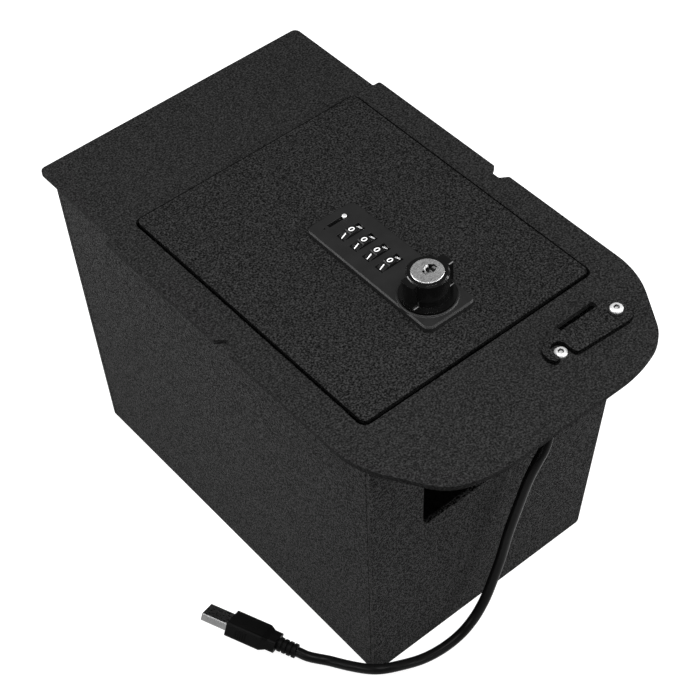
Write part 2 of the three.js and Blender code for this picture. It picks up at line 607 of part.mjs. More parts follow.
function makeLockCase() {
  const body = alongZ(centred(LOCK_X, FACE_Y, CASE_WIDTH, CASE_LENGTH, 1), CASE_BOTTOM, CASE_TOP);
  const barrel = postZ(LOCK_X, KNOB_Y, BARREL_RADIUS, BARREL_BOTTOM, CASE_BOTTOM + 1, 32);
  const bore = postZ(LOCK_X, KNOB_Y, SPINDLE_RADIUS + RUNNING, 0, HEIGHT * 2, 24);
  const mouths = Array.from({ length: DIAL_COUNT }, (_, i) => alongZ(
    centred(LOCK_X, dialY(i), 2 * (DIAL_RADIUS + SEAT), DIAL_WIDTH + 2 * SEAT), DIAL_Z, HEIGHT * 2));
  const shaftBore = postY(LOCK_X, DIAL_Z, SHAFT_RADIUS + RUNNING, KNOB_Y, dialY(0) + SHAFT_END + SEAT);
  const pinPocket = alongZ(centred(codeSlotX, codeSlotY, CODE_SLOT_LENGTH + 2 * SEAT,
    CODE_SLOT_WIDTH + 2 * SEAT), CASE_TOP - 7, HEIGHT * 2);
  const screwHoles = Object.values(clampPlaces).map((y) => postZ(
    LOCK_X, y, SCREW_RADIUS + RUNNING, 0, CASE_BOTTOM + CLAMP_THREAD + SEAT, 16));
  piece('lock_case', cut(join(body, barrel), bore, ...dialPockets(), ...mouths, shaftBore, pinPocket,
    ...screwHoles), satinBlack);
  const shaft = postY(LOCK_X, DIAL_Z, SHAFT_RADIUS, dialY(DIAL_COUNT - 1) - SHAFT_END,
    dialY(0) + SHAFT_END);
  piece('dial_shaft', shaft, zincPlate);
}

// A dial: ten flats for the numbers, with a finger groove between each two
function makeDials() {
  const groove = DIAL_RADIUS - DIAL_GROOVE;
  const flat = DIAL_RADIUS * 0.985;
  const points = [];
  for (let k = 0; k < 10; k += 1) {
    for (const [turn, radius] of [[-13.5, DIAL_RADIUS], [0, flat], [13.5, DIAL_RADIUS], [18, groove]]) {
      const angle = rad(90 - DIAL_REST + 36 * k + turn);
      const ray = new THREE.Vector2(Math.cos(angle), Math.sin(angle)).multiplyScalar(radius);
      points.push(ray.add(new THREE.Vector2(LOCK_X, DIAL_Z)));
    }
  }
  for (let i = 0; i < DIAL_COUNT; i += 1) {
    const [front, rear] = [dialY(i) - DIAL_WIDTH / 2, dialY(i) + DIAL_WIDTH / 2];
    const bore = postY(LOCK_X, DIAL_Z, SHAFT_RADIUS + RUNNING, front - 1, rear + 1);
    piece(`number_dial_${i + 1}`, cut(alongY(new THREE.Shape(points), front, rear), bore), satinBlack);
  }
}

function makeCodePin() {
  const x = codeSlotX + CODE_SLOT_LENGTH / 2 - CODE_PIN_REST;
  const headBottom = FACE_TOP + SEAT;
  const post = postZ(x, codeSlotY, CODE_SLOT_WIDTH / 2 - RUNNING, CASE_TOP - 3, headBottom + 0.1);
  const head = turned([
    [0, headBottom], [CODE_PIN_RADIUS, headBottom], [CODE_PIN_RADIUS, headBottom + 0.3],
    [CODE_PIN_RADIUS - 0.4, headBottom + 0.7], [0, headBottom + 0.7],
  ], x, codeSlotY, 20);
  const slider = alongZ(centred(x, codeSlotY, 2 * CODE_PIN_RADIUS, CODE_SLOT_WIDTH),
    CASE_TOP - 6.5, CASE_TOP - 1.5);
  piece('code_change_pin', join(post, head, slider), stainless);
}

function makeClamps() {
  const legIn = CASE_WIDTH / 2 + CLAMP_CLEARANCE;
  const legOut = legIn + SHEET;
  const webTop = CASE_BOTTOM - SEAT;
  const webBottom = webTop - SHEET;
  const section = outline([
    [LOCK_X - legOut, webBottom, 2], [LOCK_X + legOut, webBottom, 2], [LOCK_X + legOut, LID_BOTTOM - SEAT],
    [LOCK_X + legIn, LID_BOTTOM - SEAT], [LOCK_X + legIn, webTop], [LOCK_X - legIn, webTop],
    [LOCK_X - legIn, LID_BOTTOM - SEAT], [LOCK_X - legOut, LID_BOTTOM - SEAT],
  ]);
  for (const [end, y] of Object.entries(clampPlaces)) {
    const channel = alongY(section, y - CLAMP_WIDTH / 2, y + CLAMP_WIDTH / 2);
    const hole = postZ(LOCK_X, y, SCREW_RADIUS + RUNNING, webBottom - 1, webTop + 1, 16);
    piece(`lock_clamp_${end}`, cut(channel, hole), zincPlate);
    const headTop = webBottom - SEAT;
    const head = alongZ(hexagon(LOCK_X, y, HEAD_RADIUS), headTop - HEAD_HEIGHT, headTop);
    const thread = postZ(LOCK_X, y, SCREW_RADIUS, headTop - 1, CASE_BOTTOM + CLAMP_THREAD, 16);
    piece(`clamp_screw_${end}`, join(head, thread), zincPlate);
  }
}

function hexagon(x, y, radius) {
  const points = Array.from({ length: 6 }, (_, k) => new THREE.Vector2(
    x + radius * Math.cos((k * Math.PI) / 3), y + radius * Math.sin((k * Math.PI) / 3)));
  return new THREE.Shape(points);
}

function makeKnob() {
  const chamfer = 0.8;
  const grip = turned([
    [0, KNOB_BOTTOM], [KNOB_RADIUS, KNOB_BOTTOM], [KNOB_RADIUS, KNOB_TOP - chamfer],
    [KNOB_RADIUS - chamfer, KNOB_TOP], [0, KNOB_TOP],
  ], LOCK_X, KNOB_Y, 48);
  const wingSpace = postZ(LOCK_X, KNOB_Y, WING_REACH, KNOB_BOTTOM, KNOB_TOP - 0.4, 64);
  const wing = alongZ(centred(LOCK_X, KNOB_Y, 3 * WING_REACH, WING_WIDTH, 0), KNOB_BOTTOM, KNOB_TOP)
    .intersect(wingSpace);
  const skirt = postZ(LOCK_X, KNOB_Y, SKIRT_RADIUS, KNOB_BOTTOM, KNOB_BOTTOM + SKIRT_HEIGHT, 64);
  const half = rad(SKIRT_WINDOW / 2);
  const window = new THREE.Shape().moveTo(LOCK_X, KNOB_Y)
    .absarc(LOCK_X, KNOB_Y, 2 * SKIRT_RADIUS, -Math.PI / 2 - half, -Math.PI / 2 + half);
  const skirting = cut(skirt, alongZ(window, KNOB_BOTTOM - 1, KNOB_BOTTOM + 2 * SKIRT_HEIGHT));
  const shoulder = BARREL_BOTTOM - SEAT;
  const spindle = postZ(LOCK_X, KNOB_Y, SPINDLE_RADIUS, shoulder, KNOB_BOTTOM + 1, 24);
  const square = alongZ(centred(LOCK_X, KNOB_Y, CAM_SQUARE, CAM_SQUARE, 0),
    CAM_BOTTOM + SEAT, shoulder + 1);
  const discSeat = postZ(LOCK_X, KNOB_Y, PLUG_RADIUS + RUNNING, KNOB_TOP - PLUG_DISC, HEIGHT * 2, 40);
  const rotorSeat = postZ(LOCK_X, KNOB_Y, ROTOR_RADIUS + RUNNING,
    KNOB_TOP - PLUG_DISC - ROTOR_LENGTH - SEAT, KNOB_TOP, 28);
  const thread = postZ(LOCK_X, KNOB_Y, SCREW_RADIUS + RUNNING, 0, shoulder + 7, 16);
  piece('knob', cut(join(grip, wing, skirting, spindle, square), discSeat, rotorSeat, thread), gloss);

  const discBottom = KNOB_TOP - PLUG_DISC + SEAT;
  const plug = turned([
    [0, discBottom - ROTOR_LENGTH], [ROTOR_RADIUS, discBottom - ROTOR_LENGTH],
    [ROTOR_RADIUS, discBottom], [PLUG_RADIUS, discBottom], [PLUG_RADIUS, KNOB_TOP],
    [PLUG_RADIUS - 0.3, KNOB_TOP + 0.3], [0, KNOB_TOP + 0.3],
  ], 0, 0, 40);
  const keyway = join(
    alongZ(centred(KEYWAY_SHIFT, 0, KEYWAY_LENGTH, KEYWAY_WIDTH), KNOB_TOP - KEYWAY_DEPTH, HEIGHT * 2),
    postZ(...KEYWAY_BORE_AT, KEYWAY_BORE, KNOB_TOP - KEYWAY_DEPTH, HEIGHT * 2, 32));
  const turnedPlug = cut(plug, keyway).translate([LOCK_X, KNOB_Y, 0]);
  piece('key_plug', turnedPlug, stainless);
}

function makeCam() {
  const root = disc(LOCK_X, KNOB_Y, CAM_WIDTH / 2 + 1);
  const tip = rectangle(LOCK_X, LOCK_X + CAM_REACH, KNOB_Y - CAM_WIDTH / 2, KNOB_Y + CAM_WIDTH / 2, 3);
  const square = centred(LOCK_X, KNOB_Y, CAM_SQUARE + 2 * RUNNING, CAM_SQUARE + 2 * RUNNING, 0);
  const blank = join(alongZ(root, CAM_BOTTOM, CAM_TOP, 24), alongZ(tip, CAM_BOTTOM, CAM_TOP));
  piece('cam', cut(blank, alongZ(square, CAM_BOTTOM - 1, CAM_TOP + 1)), zincPlate);

  const washerTop = CAM_BOTTOM - SEAT;
  const washer = cut(postZ(LOCK_X, KNOB_Y, CAM_SQUARE, washerTop - 1, washerTop, 24),
    postZ(LOCK_X, KNOB_Y, SCREW_RADIUS + RUNNING, washerTop - 2, washerTop + 1, 16));
  piece('cam_washer', washer, zincPlate);
  const headTop = washerTop - 1 - SEAT;
  const head = alongZ(hexagon(LOCK_X, KNOB_Y, HEAD_RADIUS + 0.6), headTop - HEAD_HEIGHT, headTop);
  const thread = postZ(LOCK_X, KNOB_Y, SCREW_RADIUS, headTop - 1, BARREL_BOTTOM + 6, 16);
  piece('cam_bolt', join(head, thread), zincPlate);

  const lipBottom = CAM_TOP + CAM_PLAY;
  const lipRear = KNOB_Y - CAM_REACH + CAM_CATCH;
  const web = lipRear - STRIKE_LIP;
  const top = UNDERSIDE - SEAT;
  const section = outline([
    [lipRear, lipBottom], [lipRear, lipBottom + SHEET], [web + SHEET, lipBottom + SHEET],
    [web + SHEET, top, STRIKE_BEND], [web - STRIKE_FOOT, top], [web - STRIKE_FOOT, top - SHEET],
    [web, top - SHEET], [web, lipBottom, STRIKE_BEND],
  ]);
  const strike = alongX(section, LOCK_X - STRIKE_WIDTH / 2, LOCK_X + STRIKE_WIDTH / 2);
  piece('strike_bracket', strike, powderCoat);
}

// A button-head screw with its nut under the flange
function buttonScrew(names, [x, y], headBottom) {
  const rim = 0.5;
  const dome = [];
  for (let k = 0; k <= 4; k += 1) {
    const lift = (k / 4) * Math.PI / 2;
    const radius = HEAD_RADIUS * (1 - 0.45 * (1 - Math.cos(lift)));
    dome.push([radius, headBottom + rim + (HEAD_HEIGHT - rim) * Math.sin(lift)]);
  }
  const nutTop = UNDERSIDE - SEAT;
  const profile = [[0, nutTop - NUT_HEIGHT - 2], [SCREW_RADIUS, nutTop - NUT_HEIGHT - 2],
    [SCREW_RADIUS, headBottom], [HEAD_RADIUS, headBottom], ...dome, [0, headBottom + HEAD_HEIGHT]];
  const socket = alongZ(hexagon(x, y, HEX_SOCKET), headBottom + HEAD_HEIGHT - 1.3, HEIGHT * 2);
  piece(names[0], cut(turned(profile, x, y, 28), socket), stainless);
  const nut = cut(alongZ(hexagon(x, y, NUT_RADIUS), nutTop - NUT_HEIGHT, nutTop),
    postZ(x, y, SCREW_RADIUS + RUNNING, 0, HEIGHT * 2, 16));
  piece(names[1], nut, zincPlate);
}

function makeCordGuard() {
  const [px, py] = GUARD_PIVOT;
  const bottom = HEIGHT + SEAT;
  const top = bottom + SHEET;
  const left = CATCH_X - HOOK_RADIUS - HOOK_WALL;
  const rear = py + GUARD_HALF_WIDTH;
  const front = py - GUARD_HALF_WIDTH;
  const mouthRight = CATCH_X + HOOK_RADIUS;
  const bar = outline([
    [left, rear, 7], [left, py - 1, 2], [left + 1.6, py - HOOK_TIP, 0.8], [CATCH_X, py - HOOK_TIP, 0],
    [CATCH_X, py, 0], [mouthRight, py, 0], [mouthRight, front + GUARD_TAPER, 2.6],
    [px, front, 0], [px, rear, 0],
  ]);
  const eye = postZ(px, py, GUARD_HALF_WIDTH, bottom, top, 40);
  const hookHole = postZ(CATCH_X, py + 1, HOOK_RADIUS, bottom - 1, top + 1, 32);
  const mouth = alongZ(rectangle(CATCH_X - HOOK_RADIUS, mouthRight, py - 2 * GUARD_HALF_WIDTH, py + 1),
    bottom - 1, top + 1);
  const pivotHole = postZ(px, py, SCREW_RADIUS + RUNNING, bottom - 1, top + 1, 20);
  piece('cord_guard', cut(join(alongZ(bar, bottom, top), eye), hookHole, mouth, pivotHole), powderCoat);

  const washerBottom = top + SEAT;
  const washer = cut(postZ(px, py, WASHER_RADIUS, washerBottom, washerBottom + WASHER_THICKNESS, 28),
    postZ(px, py, SCREW_RADIUS + RUNNING, 0, HEIGHT * 2, 20));
  piece('guard_washer', washer, satinBlack);
  buttonScrew(['guard_pivot_screw', 'guard_pivot_nut'], GUARD_PIVOT,
    washerBottom + WASHER_THICKNESS + SEAT);
  buttonScrew(['guard_catch_screw', 'guard_catch_nut'], [CATCH_X, py], HEIGHT + SEAT);
}

function makeSocket() {
  const { x, y, z: cordStart } = placed(CORD_ROUTE[0]);
  const top = cordStart - SEAT - BOOT_LENGTH;
  const bottom = top - SOCKET_HEIGHT;
  const inside = (z) => frontAt(z) + SHEET / Math.cos(rad(FRONT_DRAFT)) + SEAT;
  const back = inside(bottom) + SOCKET_DEPTH;
  const section = outline([
    [inside(bottom), bottom], [back, bottom, 1.5], [back, top, 1.5], [inside(top), top],
  ]);
  const block = alongX(section, SOCKET_X - SOCKET_WIDTH / 2, SOCKET_X + SOCKET_WIDTH / 2);
  const boot = postZ(x, y, BOOT_RADIUS, top - 1, top + BOOT_LENGTH, 20);
  const port = alongY(centred(SOCKET_X, (top + bottom) / 2, PORT_WIDTH, PORT_HEIGHT, 0),
    back - PORT_DEPTH, back + 1);
  piece('usb_socket', cut(join(block, boot), port), satinBlack);
}

// Lead: a tube along its route, from the socket's boot to the plug's strain relief
const plugTurn = new THREE.Euler(rad(PLUG_PITCH), rad(PLUG_ROLL), rad(PLUG_HEADING), 'ZXY');
const plugBack = new THREE.Vector3(0, -1, 0).applyEuler(plugTurn);
const RELIEF_START = MOULD_LENGTH + FLARE_LENGTH + NECK_LENGTH;
const cordEnd = placed(PLUG_AT).addScaledVector(plugBack, RELIEF_START + RELIEF_LENGTH + SEAT);

function makeCord() {
  const points = CORD_ROUTE.map(placed);
  points.push(cordEnd.clone().addScaledVector(plugBack, 6), cordEnd);
  const path = new THREE.CatmullRomCurve3(points, false, 'centripetal');
  const section = new THREE.Shape(Array.from({ length: CORD_SIDES }, (_, k) => new THREE.Vector2(
    CORD_RADIUS * Math.cos((2 * Math.PI * k) / CORD_SIDES),
    CORD_RADIUS * Math.sin((2 * Math.PI * k) / CORD_SIDES))));
  const tube = new THREE.ExtrudeGeometry(section, {
    steps: CORD_STEPS, extrudePath: path, bevelEnabled: false,
  });
  piece('usb_cable', toSolid(tube), rubber);
}

// Along Y, drawn in towards y0 until its outline is the given share of the full one
function flared(shape, y0, y1, shareX, shareZ) {
  const geometry = extrude(shape, -y1, -y0).rotateX(Math.PI / 2);
  const { array } = geometry.attributes.position;
  for (let k = 0; k < array.length; k += 3) {
    if (array[k + 1] < (y0 + y1) / 2) {
      array[k] *= shareX;
      array[k + 2] *= shareZ;
    }
  }
  return toSolid(geometry);
}

function makePlug() {
  const plug = new THREE.Group();
  plug.position.copy(placed(PLUG_AT));
  plug.rotation.copy(plugTurn);
  group.add(plug);

  const section = centred(0, 0, MOULD_WIDTH, MOULD_HEIGHT, MOULD_CORNER);
  const neckFront = -MOULD_LENGTH - FLARE_LENGTH;
  const mould = alongY(section, -MOULD_LENGTH, -SEAT);
  const flare = flared(section, neckFront, -MOULD_LENGTH,
    NECK_WIDTH / MOULD_WIDTH, NECK_HEIGHT / MOULD_HEIGHT);
  const neck = alongY(centred(0, 0, NECK_WIDTH, NECK_HEIGHT, MOULD_CORNER),
    -RELIEF_START, neckFront + 1);
  const grooves = [];
  for (let k = 0; k < RIB_COUNT; k += 1) {
    const y = -FIRST_RIB - k * RIB_PITCH;
    for (const side of [-1, 1]) {
      grooves.push(alongY(centred(side * MOULD_WIDTH / 2, 0, 0.8, MOULD_HEIGHT * 0.55, 0), y - 0.6, y));
    }
  }
  const pitch = RELIEF_LENGTH / RELIEF_RINGS;
  const core = RELIEF_RADIUS - 0.7;
  const profile = [[0, -1], [core, -1]];
  for (let k = 0; k < RELIEF_RINGS; k += 1) {
    const start = k * pitch;
    profile.push([core, start + 0.3], [RELIEF_RADIUS, start + 0.7],
      [RELIEF_RADIUS, start + pitch - 0.4], [core, start + pitch]);
  }
  profile.push([0, RELIEF_LENGTH]);
  const relief = new THREE.LatheGeometry(profile.map(([r, y]) => new THREE.Vector2(r, y)), 20)
    .rotateX(Math.PI).translate(0, -RELIEF_START, 0);
  const body = cut(join(mould, flare, neck), ...grooves);
  piece('plug_overmold', join(body, toSolid(relief)), rubber, plug);

  const tube = alongY(centred(0, 0, SHELL_WIDTH, SHELL_HEIGHT, 0.6), 0, SHELL_LENGTH);
  const hollow = alongY(centred(0, 0, SHELL_WIDTH - 2 * SHELL_WALL, SHELL_HEIGHT - 2 * SHELL_WALL, 0),
    SHELL_WALL, SHELL_LENGTH + 1);
  const holes = [-1, 1].map((side) => alongZ(centred(side * SHELL_HOLES_APART / 2,
    SHELL_LENGTH - SHELL_HOLES_BACK, SHELL_HOLE, SHELL_HOLE, 0), -SHELL_HEIGHT, SHELL_HEIGHT));
  piece('plug_shell', cut(tube, hollow, ...holes), stainless, plug);
  const tongueTop = SHELL_HEIGHT / 2 - SHELL_WALL - SEAT;
  const tongue = alongY(rectangle(-SHELL_WIDTH / 2 + 2 * SHELL_WALL, SHELL_WIDTH / 2 - 2 * SHELL_WALL,
    tongueTop - TONGUE_THICKNESS, tongueTop), SHELL_WALL + SEAT, SHELL_LENGTH - 1);
  piece('plug_tongue', tongue, satinBlack, plug);
}

makeFlange();
makeBox();
makeLedges();
makeLid();
makeHinge();
makeLockFace();
makeLockCase();
makeDials();
makeCodePin();
makeClamps();
makeKnob();
makeCam();
makeCordGuard();
makeSocket();
makeCord();
makePlug();

export default group;
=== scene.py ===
"""Looks of the console safe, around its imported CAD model.

The frame is in metres, with +Z up and the safe's front towards -Y. Sizes here are in millimetres, unless
a comment says otherwise.
"""
import json
import math

import bmesh
import bpy
from mathutils import Matrix, Vector

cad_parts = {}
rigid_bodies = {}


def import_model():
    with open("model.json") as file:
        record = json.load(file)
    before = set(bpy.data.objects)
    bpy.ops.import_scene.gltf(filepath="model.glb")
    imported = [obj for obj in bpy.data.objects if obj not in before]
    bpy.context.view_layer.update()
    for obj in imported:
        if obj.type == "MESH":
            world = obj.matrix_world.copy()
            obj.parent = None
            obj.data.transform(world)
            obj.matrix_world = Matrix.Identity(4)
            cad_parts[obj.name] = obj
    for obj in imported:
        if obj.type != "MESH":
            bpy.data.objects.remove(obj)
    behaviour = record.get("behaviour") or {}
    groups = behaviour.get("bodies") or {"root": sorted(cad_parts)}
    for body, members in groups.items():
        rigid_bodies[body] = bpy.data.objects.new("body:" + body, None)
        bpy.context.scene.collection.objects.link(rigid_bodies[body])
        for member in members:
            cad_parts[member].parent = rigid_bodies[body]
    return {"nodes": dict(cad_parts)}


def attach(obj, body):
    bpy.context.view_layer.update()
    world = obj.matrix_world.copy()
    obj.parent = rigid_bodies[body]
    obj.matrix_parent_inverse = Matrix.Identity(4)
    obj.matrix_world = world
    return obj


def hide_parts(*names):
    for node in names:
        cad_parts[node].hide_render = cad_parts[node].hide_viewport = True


MM = 0.001

for old in list(bpy.data.objects):
    bpy.data.objects.remove(old)

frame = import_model()
nodes = frame["nodes"]
scene = bpy.context.scene


def link(name, data):
    made = bpy.data.objects.new(name, data)
    scene.collection.objects.link(made)
    return made


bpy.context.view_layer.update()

# Camera: where the photograph was taken from
CAMERA_AT = Vector((-393.275, -507.948, 817.112))
CAMERA_RIGHT = Vector((0.7661614, -0.6413275, -0.0411799))
CAMERA_DOWN = Vector((-0.4987121, -0.5529254, -0.6675026))
CAMERA_AHEAD = Vector((0.4053183, 0.5319517, -0.7434679))
FOCAL = 1842.371    # in the photograph's pixels
PHOTO = 700    # the photograph's width in pixels
SENSOR = 36
NEAR, FAR = 10, 20000

camera_data = bpy.data.cameras.new("camera")
camera_data.sensor_width = SENSOR
camera_data.lens = FOCAL / PHOTO * SENSOR
camera_data.clip_start = NEAR * MM
camera_data.clip_end = FAR * MM
camera = link("camera", camera_data)
camera_turn = Matrix((CAMERA_RIGHT, -CAMERA_DOWN, -CAMERA_AHEAD)).transposed().to_4x4()
camera.matrix_world = Matrix.Translation(CAMERA_AT * MM) @ camera_turn
scene.camera = camera

# Free lead: the same route as in the part's source, as x, the distance behind the flange's front edge
# and the height
FRONT_EDGE = -151.2
CORD_RADIUS = 2.75
CORD_ROUTE = [
    (36, 52.7, 103.3), (36, 52.6, 110), (35.3, 50.6, 117.5), (33.3, 46.2, 124.3), (29.8, 40.6, 128.2),
    (25, 35.2, 128.2), (19.5, 31.5, 125), (15.9, 30.2, 119.6), (11.8, 30.2, 113.6), (7.2, 30.9, 104),
    (1.5, 32.2, 84.5), (-3.8, 33.1, 65.6), (-8.2, 33.4, 48), (-13.8, 33.2, 33.5), (-20, 32.6, 22),
    (-27.4, 32.8, 12), (-36, 33.2, 6.2), (-47.6, 33.9, 4.2), (-59.4, 35.7, 4.6), (-71.6, 38.9, 7.4),
    (-81, 42.9, 9), (-85.6, 47.4, 8.4), (-91.2, 57.2, 5.8), (-96.5, 67.2, 4.2),
]
STEPS_PER_SPAN = 8
PLUG_AT = Vector((-122.1, FRONT_EDGE + 116, 9.8))
PLUG_HEADING = 24.8
PLUG_PITCH = 5.3
PLUG_ROLL = 28.5
PLUG_BODY = 20
PLUG_FLARE = 2.9
PLUG_NECK = 4.7
PLUG_RELIEF = 11
PLUG_SEAT = 0.3
STRAIGHT_BEHIND_PLUG = 6


def turned(heading, pitch, roll):
    return (Matrix.Rotation(math.radians(heading), 3, "Z") @ Matrix.Rotation(math.radians(pitch), 3, "X")
            @ Matrix.Rotation(math.radians(roll), 3, "Y"))


def centripetal(points, per_span):
    """A centripetal Catmull-Rom curve through the points, as the part's source draws it."""
    ends = [2 * points[0] - points[1], *points, 2 * points[-1] - points[-2]]
    found = []
    for p0, p1, p2, p3 in zip(ends, ends[1:], ends[2:], ends[3:]):
        d0, d1, d2 = (max((b - a).length ** 0.5, 1e-6) for a, b in ((p0, p1), (p1, p2), (p2, p3)))
        t1 = ((p1 - p0) / d0 - (p2 - p0) / (d0 + d1) + (p2 - p1) / d1) * d1
        t2 = ((p2 - p1) / d1 - (p3 - p1) / (d1 + d2) + (p3 - p2) / d2) * d1
        for k in range(per_span):
            t = k / per_span
            found.append(
                p1 * (2 * t ** 3 - 3 * t ** 2 + 1) + t1 * (t ** 3 - 2 * t ** 2 + t)
                + p2 * (3 * t ** 2 - 2 * t ** 3) + t2 * (t ** 3 - t ** 2))
    return [*found, points[-1]]


plug_back = turned(PLUG_HEADING, PLUG_PITCH, PLUG_ROLL) @ Vector((0, -1, 0))
cord_end = PLUG_AT + plug_back * (PLUG_BODY + PLUG_FLARE + PLUG_NECK + PLUG_RELIEF + PLUG_SEAT)
route = [Vector((x, FRONT_EDGE + y, z)) for x, y, z in CORD_ROUTE]
route += [cord_end + plug_back * STRAIGHT_BEHIND_PLUG, cord_end]
centreline = centripetal(route, STEPS_PER_SPAN)

lead_data = bpy.data.curves.new("lead", "CURVE")
lead_data.dimensions = "3D"
lead_data.bevel_depth = 1.0    # a tube's radius is this times its point's radius
lead_data.bevel_resolution = 5
lead_data.use_fill_caps = True
spline = lead_data.splines.new("POLY")
spline.points.add(len(centreline) - 1)
for point, at in zip(spline.points, centreline):
    point.co = (*(at * MM), 1)
    point.radius = CORD_RADIUS * MM
lead = link("lead", lead_data)
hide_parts("usb_cable")
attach(lead, "safe")


# Materials. Their scales count features per metre, and their bumps are in metres.
def grey(value):
    return (value, value, value, 1)


class Nodes:
    """A material's node tree, built a node at a time."""

    def __init__(self, name):
        self.material = bpy.data.materials.new(name)
        self.material.use_nodes = True
        self.tree = self.material.node_tree
        self.shader = self.tree.nodes["Principled BSDF"]
        self.coordinates = None

    def add(self, kind, **values):
        node = self.tree.nodes.new(kind)
        for key, value in values.items():
            if key in node.inputs:
                node.inputs[key].default_value = value
            else:
                setattr(node, key, value)
        return node

    def join(self, source, target):
        self.tree.links.new(source, target)

    def coordinate(self, output):
        if not self.coordinates:
            self.coordinates = self.add("ShaderNodeTexCoord")
        return self.coordinates.outputs[output]

    def position(self):
        return self.coordinate("Object")

    def mapped(self, **values):
        """The position, turned or stretched."""
        node = self.add("ShaderNodeMapping", **values)
        self.join(self.position(), node.inputs["Vector"])
        return node.outputs["Vector"]

    def noise(self, scale, detail=3.0, roughness=0.5, vector=None):
        node = self.add("ShaderNodeTexNoise", Scale=scale, Detail=detail, Roughness=roughness)
        self.join(vector or self.position(), node.inputs["Vector"])
        return node.outputs["Fac"]

    def ramp(self, source, *stops):
        """A grey for each value of the source. The stops are pairs of a value and its grey."""
        node = self.add("ShaderNodeValToRGB")
        elements = node.color_ramp.elements
        for element, (at, value) in zip(elements, (stops[0], stops[-1])):
            element.position = at
            element.color = grey(value)
        for at, value in stops[1:-1]:
            elements.new(at).color = grey(value)
        self.join(source, node.inputs["Fac"])
        return node.outputs["Color"]

    def bump(self, height, distance, strength, after=None):
        node = self.add("ShaderNodeBump", Distance=distance, Strength=strength)
        self.join(height, node.inputs["Height"])
        if after:
            self.join(after, node.inputs["Normal"])
        return node.outputs["Normal"]

    def finish(self, color, roughness, normal=None, **values):
        """Sets the shader. The color and the roughness are each a number or another node's output."""
        for key, value in values.items():
            self.shader.inputs[key.replace("_", " ")].default_value = value
        if isinstance(color, bpy.types.NodeSocket):
            self.join(color, self.shader.inputs["Base Color"])
        else:
            self.shader.inputs["Base Color"].default_value = grey(color)
        if isinstance(roughness, bpy.types.NodeSocket):
            self.join(roughness, self.shader.inputs["Roughness"])
        else:
            self.shader.inputs["Roughness"].default_value = roughness
        if normal:
            self.join(normal, self.shader.inputs["Normal"])
        return self.material


def powder_coat(name, crease_shade, ground, ridge_highlight, spread, upright):
    """Black wrinkle powder coat: a ground tone, darker in each crease as painted shade and lighter on
    each ridge as a painted highlight.

    The spread is how far the noise goes from the ground to either, and upright faces have only a share
    of the tone, which paints shade on them.
    """
    n = Nodes(name)
    # Askew, so that no flat wall follows a plane of the noise's own grid
    field = n.noise(1150, 3.0, 0.55, n.mapped(Rotation=(0.6, 0.45, 0.3)))
    # The ground tone, with painted shade down in each crease and a painted highlight up on each ridge,
    # following the bump's own field
    tone = n.ramp(field, (0.5 - spread, crease_shade), (0.5, ground), (0.5 + spread, ridge_highlight))
    facing = n.add("ShaderNodeSeparateXYZ")
    n.join(n.coordinate("Normal"), facing.inputs[0])
    level = n.add("ShaderNodeMath", operation="ABSOLUTE")
    n.join(facing.outputs["Z"], level.inputs[0])
    # Upright faces keep only a share of the tone: painted shade, which darkens the plates' and the
    # flange's edges
    share = n.ramp(level.outputs[0], (0.5, upright), (0.9, 1.0))
    color = n.add("ShaderNodeMix", data_type="RGBA", blend_type="MULTIPLY")
    color.inputs["Factor"].default_value = 1.0
    n.join(tone, color.inputs["A"])
    n.join(share, color.inputs["B"])
    rough = n.ramp(n.noise(200, 2), (0.3, 0.42), (0.7, 0.5))
    wrinkles = n.bump(field, 0.00045, 1.0)
    return n.finish(color.outputs["Result"], rough, wrinkles, Specular_IOR_Level=0.006)


def satin_casting():
    n = Nodes("satin_black_casting")
    rough = n.ramp(n.noise(120, 3), (0.3, 0.4), (0.7, 0.5))
    grain = n.bump(n.noise(2600, 2), 0.00003, 0.5)
    return n.finish(0.0085, rough, grain, Specular_IOR_Level=0.25)


def gloss_black():
    n = Nodes("gloss_black_knob")
    rough = n.ramp(n.noise(180, 3), (0.35, 0.14), (0.7, 0.22))
    ripple = n.bump(n.noise(900, 2), 0.00002, 0.3)
    return n.finish(0.0015, rough, ripple, Specular_IOR_Level=0.55)


def brushed_disc():
    n = Nodes("brushed_stainless_disc")
    long_scratches = n.noise(60, 6, 0.7, n.mapped(Scale=(1, 14, 1)))
    fine_scratches = n.noise(900, 4, 0.6, n.mapped(Scale=(1, 9, 1)))
    both = n.add("ShaderNodeMath", operation="MULTIPLY")
    n.join(long_scratches, both.inputs[0])
    n.join(fine_scratches, both.inputs[1])
    color = n.ramp(both.outputs[0], (0.12, 0.36), (0.42, 0.8))
    rough = n.ramp(fine_scratches, (0.3, 0.32), (0.7, 0.5))
    return n.finish(color, rough, n.bump(fine_scratches, 0.00004, 0.6), Metallic=1.0)


def bright_metal(name, value, rough_low, rough_high, metallic=1.0):
    n = Nodes(name)
    rough = n.ramp(n.noise(800, 3), (0.3, rough_low), (0.7, rough_high))
    color = n.ramp(n.noise(350, 2), (0.3, value * 0.9), (0.7, value))
    return n.finish(color, rough, n.bump(n.noise(1500, 3), 0.000002, 0.5), Metallic=metallic)


def moulded(name, value, rough, grain=1800, depth=0.00003, specular=0.2):
    """Plastic or rubber, with a grain of the scale and depth given."""
    n = Nodes(name)
    color = n.ramp(n.noise(90, 3), (0.3, value * 0.8), (0.7, value * 1.2))
    roughness = n.ramp(n.noise(300, 3), (0.3, rough - 0.06), (0.7, rough + 0.06))
    return n.finish(color, roughness, n.bump(n.noise(grain, 3), depth, 0.5), Specular_IOR_Level=specular)


def paint(name, low, high):
    n = Nodes(name)
    return n.finish(n.ramp(n.noise(1500, 3), (0.3, low), (0.6, high)), 0.5, Specular_IOR_Level=0.2)


